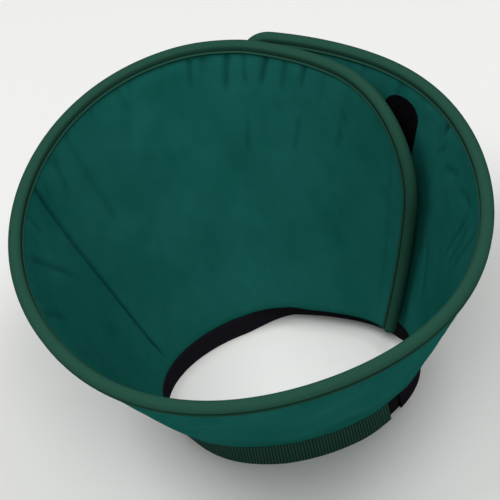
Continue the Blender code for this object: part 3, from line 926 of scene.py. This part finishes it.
# The neck strap: black polyester webbing sewn in behind both ends of the elastic. The long strap goes
# round the back of the neck, and its free end lies over the short end and is pressed on to it.
SEAM_GAP = 0.0003
WEB_THICKNESS = 0.0018
WEB_TUCK = 9.0
SHORT_END = 6.0
LONG_END = -39.5
WEB_RAMP = 12.0
WEB_RAMP_LEAD = 4.2
WEB_SETTLE = 25.0
# degrees over which the lean of the elastic dies out along each strap
NEAR_LEAN_RUN = 20.0
FAR_LEAN_LEAD = 30.0
FAR_LEAN_RUN = 25.0
WEB_BEHIND = BAND_LINE - BAND_THICKNESS / 2 - SEAM_GAP - WEB_THICKNESS / 2


def ring_offset(azimuth):
    """Distance outside the neck oval that the panel's outer layer keeps, dying out past its end."""
    return outer_offset(OUTER_END - azimuth) * ease(1.0 - (azimuth - OUTER_END) / WEB_SETTLE)


def webbing():
    """Woven polyester webbing: close black yarns, with a painted highlight on top where they cross."""
    made, tree, shader = start_material("Webbing, black polyester", "#221F26", 0.85)
    # yarns of 0.6 mm are drawn at 1.2 mm along and 1.4 mm across, so that they show
    both = weave(tree, 0.0012, 0.0014, 0.3)
    # painted highlight on the yarn crossings and painted shade between them
    tone = add_node(tree, "ShaderNodeValToRGB", [("Fac", both.outputs[0])],
                    ((0.0, "#18161B"), (1.0, "#2C2930")))
    tree.links.new(shader.inputs["Base Color"], tone.outputs[0])
    bump = add_node(tree, "ShaderNodeBump", [("Height", both.outputs[0])], Strength=0.5, Distance=0.00025)
    tree.links.new(shader.inputs["Normal"], bump.outputs[0])
    return made


black_webbing = webbing()
outline = upright_outline(10)
web_v = outline_lengths(outline, WEB_THICKNESS)
# the edge yarns stand a little proud of the middle of the webbing
selvedge = 0.00008 * (np.exp(-((outline[:, 0] - 0.0016) / 0.0006) ** 2)
                      + np.exp(-((outline[:, 0] - BAND_HEIGHT + 0.0016) / 0.0006) ** 2))

short_azimuth = np.linspace(SHORT_END, BAND_START - WEB_TUCK, 160)
short_lean = (np.interp(BAND_START, *BAND_LEAN.T)
              * ease((BAND_START - short_azimuth) / NEAR_LEAN_RUN + 1))
short_rings = upright_rings(short_azimuth, WEB_BEHIND, short_lean, WEB_THICKNESS, outline, selvedge)
short_strap = skin("short_strap", short_rings, run_along(neck_line(short_azimuth)), web_v, black_webbing)
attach(short_strap, "root")
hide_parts("strap_short_end")

long_azimuth = np.linspace(FULL_TURN + BAND_END + WEB_TUCK, LONG_END, 620)
over_short = WEB_THICKNESS + SEAM_GAP
inset = (WEB_BEHIND + over_short * ease((SHORT_END + WEB_RAMP + WEB_RAMP_LEAD - long_azimuth) / WEB_RAMP)
         + ring_offset(long_azimuth))
long_lean = BAND_LEAN[0, 1] * ease((long_azimuth - (FULL_TURN + BAND_END - FAR_LEAN_LEAD)) / FAR_LEAN_RUN)
long_rings = upright_rings(long_azimuth, inset, long_lean, WEB_THICKNESS, outline, selvedge)
long_strap = skin("long_strap", long_rings, run_along(neck_line(long_azimuth)), web_v, black_webbing)
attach(long_strap, "root")
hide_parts("neck_strap")


# The closure strips: black hook and loop sewn flat up the inner end's outer face and, facing it, inside
# the outer end. Stiff short hooks are on one strip, soft brushed loops on the other.
STRIP_THICKNESS = 0.0008
STRIP_WIDTH = 0.022
STRIP_BOTTOM = 0.1
STRIP_CORNER = 0.0095
STRIP_FIT = 0.00034
STRIP_EDGE = 0.0002
STRIP_COLUMNS = 16
STRIP_ROWS = 90
# the strip's piece, its solid, turns back from the inner end, side, distance from the tape, and top
STRIPS = (("hook_strip", "closure_hook_strip", 0, 1.0, 0.009, 0.78),
          ("loop_strip", "closure_loop_strip", 1, -1.0, 0.015, 0.92))


def strip_rings(turns, side, from_edge, top):
    """Points of a strip on one face of the wall: across its width by share, off the wall by the face's
    height plus an outline with rounded edges, up the end by rise with its rows closest at the ends."""
    row = np.linspace(0.0, np.pi, STRIP_ROWS)
    height = STRIP_BOTTOM + (top - STRIP_BOTTOM) * (1 - np.cos(row)) / 2
    share = np.linspace(0.0, 1.0, STRIP_COLUMNS)
    # the corners are cut round
    from_end = np.minimum(height - STRIP_BOTTOM, top - height) * SLANT_LENGTH
    from_end = np.clip(from_end, 0.0, STRIP_CORNER)
    narrow = STRIP_CORNER - np.sqrt(STRIP_CORNER ** 2 - (STRIP_CORNER - from_end) ** 2)
    near = PANEL_THICKNESS / 2 + STRIP_FIT
    off = np.repeat([near, near + STRIP_THICKNESS], STRIP_COLUMNS)
    off[[0, STRIP_COLUMNS - 1]] += STRIP_EDGE
    off[[STRIP_COLUMNS, -1]] -= STRIP_EDGE
    rise = np.repeat(height[:, None], 2 * STRIP_COLUMNS, axis=1)
    distance = (TAPE_LEG + from_edge + narrow[:, None]
                + (STRIP_WIDTH - 2.0 * narrow[:, None]) * np.concatenate([share, share[::-1]]))
    end = np.full_like(rise, SHEET_TURN)
    travel = SHEET_TURN - distance / metres_per_degree(end, rise) - turns * FULL_TURN
    return wall_point(travel, rise) + wall_frame(travel, rise)[1] * (side * off)[None, :, None]


def hook_and_loop():
    """Nylon hook and loop: black and dull, its close hooks or loops drawn as small cells."""
    made, tree, shader = start_material("Hook and loop, black nylon", "#131115", 0.9, 1.53)
    spot = add_node(tree, "ShaderNodeTexCoord")
    fuzz = add_node(tree, "ShaderNodeTexVoronoi", [("Vector", spot.outputs["Object"])], Scale=900.0)
    tone = add_node(tree, "ShaderNodeValToRGB", [("Fac", fuzz.outputs["Distance"])],
                    ((0.0, "#141216"), (1.0, "#050506")))
    tree.links.new(shader.inputs["Base Color"], tone.outputs[0])
    bump = add_node(tree, "ShaderNodeBump", [("Height", fuzz.outputs["Distance"])],
                    Strength=0.6, Distance=0.0004)
    tree.links.new(shader.inputs["Normal"], bump.outputs[0])
    return made


black_nylon = hook_and_loop()
strip_u = np.linspace(0.0, 0.12, STRIP_ROWS)
strip_v = np.linspace(0, STRIP_WIDTH, STRIP_COLUMNS)
strip_v = np.concatenate([strip_v, STRIP_WIDTH + 0.001 + strip_v, [2 * STRIP_WIDTH + 0.002]])
for name, node, turns, side, from_edge, top in STRIPS:
    strip = skin(name, strip_rings(turns, side, from_edge, top), strip_u, strip_v, black_nylon)
    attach(strip, "root")
    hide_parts(node)


# Floor, light and camera: a plain pale studio floor, three large soft lights from above, in front and
# at both sides, in faint white surroundings, and the camera where the photograph was taken from.
LIGHTS = (("front", (0.0, -0.93, 2.09), 14.3), ("left", (-0.93, 0.0, 2.09), 17.0),
          ("right", (0.93, 0.0, 2.09), 13.0))
LIGHT_SIZE = 0.9
LIGHT_TARGET = (0.0, 0.0, 0.1)
MOUTH_CENTRE = Vector((-CENTRE_X, -CENTRE_Y, 0.16335))
CAMERA_DISTANCE = 1.0783
CAMERA_ELEVATION = 48.017
CAMERA_ROLL = -12.752
FOCAL_PIXELS = 1970.32
IMAGE_PIXELS = 500.0
MOUTH_PIXEL = (245.39, 210.22)

# matt white paper off a roll
paper = start_material("Studio paper", "#F2F2F0", 0.9)[0]
floor_corners = 6.0 * np.array([(-1, -1, 0), (1, -1, 0), (1, 1, 0), (-1, 1, 0)])
floor = new_piece("floor", floor_corners, [(0, 1, 2, 3)], paper)

world = bpy.data.worlds.new("studio")
world.use_nodes = True
surroundings = world.node_tree.nodes["Background"]
surroundings.inputs["Color"].default_value = (1.0, 1.0, 1.0, 1.0)
surroundings.inputs["Strength"].default_value = 0.3
bpy.context.scene.world = world

for name, place, power in LIGHTS:
    light = bpy.data.lights.new(name, "AREA")
    light.shape = "SQUARE"
    light.size = LIGHT_SIZE
    light.energy = power
    lamp = bpy.data.objects.new(name, light)
    lamp.location = place
    lamp.rotation_euler = (Vector(place) - Vector(LIGHT_TARGET)).to_track_quat("Z", "Y").to_euler()
    bpy.context.scene.collection.objects.link(lamp)

elevation, roll = np.radians(CAMERA_ELEVATION), np.radians(CAMERA_ROLL)
ahead = Vector((0.0, np.cos(elevation), -np.sin(elevation)))
level = Vector((1.0, 0.0, 0.0))
steep = level.cross(ahead)
right = np.cos(roll) * level + np.sin(roll) * steep
upward = -np.sin(roll) * level + np.cos(roll) * steep
aimed = Matrix((right, upward, -ahead)).transposed()
# turned a little further, so that the middle of the mouth falls on its own pixel
seen_at = Vector(((MOUTH_PIXEL[0] - IMAGE_PIXELS / 2) / FOCAL_PIXELS,
                  (IMAGE_PIXELS / 2 - MOUTH_PIXEL[1]) / FOCAL_PIXELS, -1.0))
turn = Vector((0.0, 0.0, -1.0)).rotation_difference(seen_at).to_matrix()
lens = bpy.data.cameras.new("camera")
lens.sensor_width = 36.0
lens.lens = FOCAL_PIXELS / IMAGE_PIXELS * lens.sensor_width
lens.clip_start = 0.05
camera = bpy.data.objects.new("camera", lens)
camera.matrix_world = (Matrix.Translation(MOUTH_CENTRE - CAMERA_DISTANCE * ahead)
                       @ (aimed @ turn.inverted()).to_4x4())
bpy.context.scene.collection.objects.link(camera)
bpy.context.scene.camera = camera
bpy.context.scene.view_settings.view_transform = "Standard"
